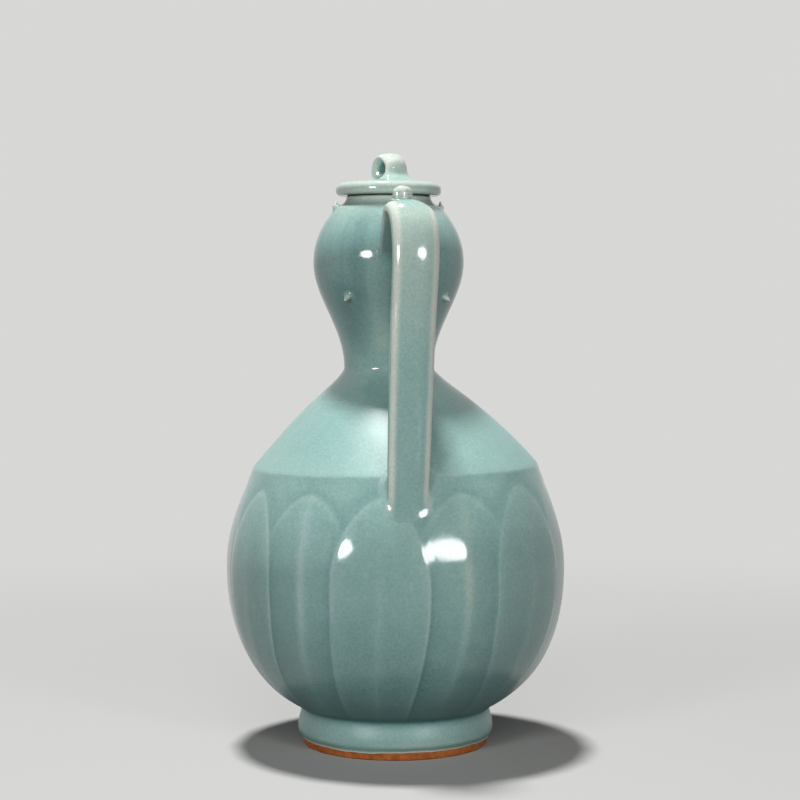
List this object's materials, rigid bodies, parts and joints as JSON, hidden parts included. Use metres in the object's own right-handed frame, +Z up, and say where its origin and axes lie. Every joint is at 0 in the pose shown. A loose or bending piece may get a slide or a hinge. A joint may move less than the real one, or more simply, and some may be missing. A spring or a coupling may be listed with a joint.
{
  "type": "lidded ewer",
  "caption": "Double-gourd ceramic ewer with a loose looped lid, a strap handle with a cord ring, a curved spout and a lotus-carved belly on a foot ring.",
  "frame": {"origin": "middle of the ewer's bounding box in plan, on the surface that the foot ring rests on", "axes": "+Z up the ewer's axis, +Y towards the spout, the handle on the -Y side"},
  "size_m": [0.1692, 0.2082, 0.295],
  "materials": {
    "glaze": "glossy pale blue-green celadon glaze, paler where it thins on edges",
    "bare_clay": "matt orange-brown unglazed stoneware"
  },
  "bodies": {
    "pot": {"foot_ring": "glaze", "belly": "glaze", "shoulder": "glaze", "upper_bulb": "glaze", "mouth_collar": "glaze", "spout": "glaze", "handle_strap": "glaze", "handle_ring": "glaze", "upper_petal_tip_1": "glaze", "upper_petal_tip_2": "glaze", "upper_petal_tip_3": "glaze", "upper_petal_tip_4": "glaze", "lower_petal_tip_1": "glaze", "lower_petal_tip_2": "glaze", "lower_petal_tip_3": "glaze", "lower_petal_tip_4": "glaze"},
    "lid": {"lid_plate": "glaze", "lid_flange": "bare_clay", "lid_loop": "glaze"}
  },
  "joints": [
    {"name": "lid_lift", "type": "slide", "parent": "pot", "child": "lid", "axis": [0, 0, 1], "range_m": [0, 0.06]}
  ]
}
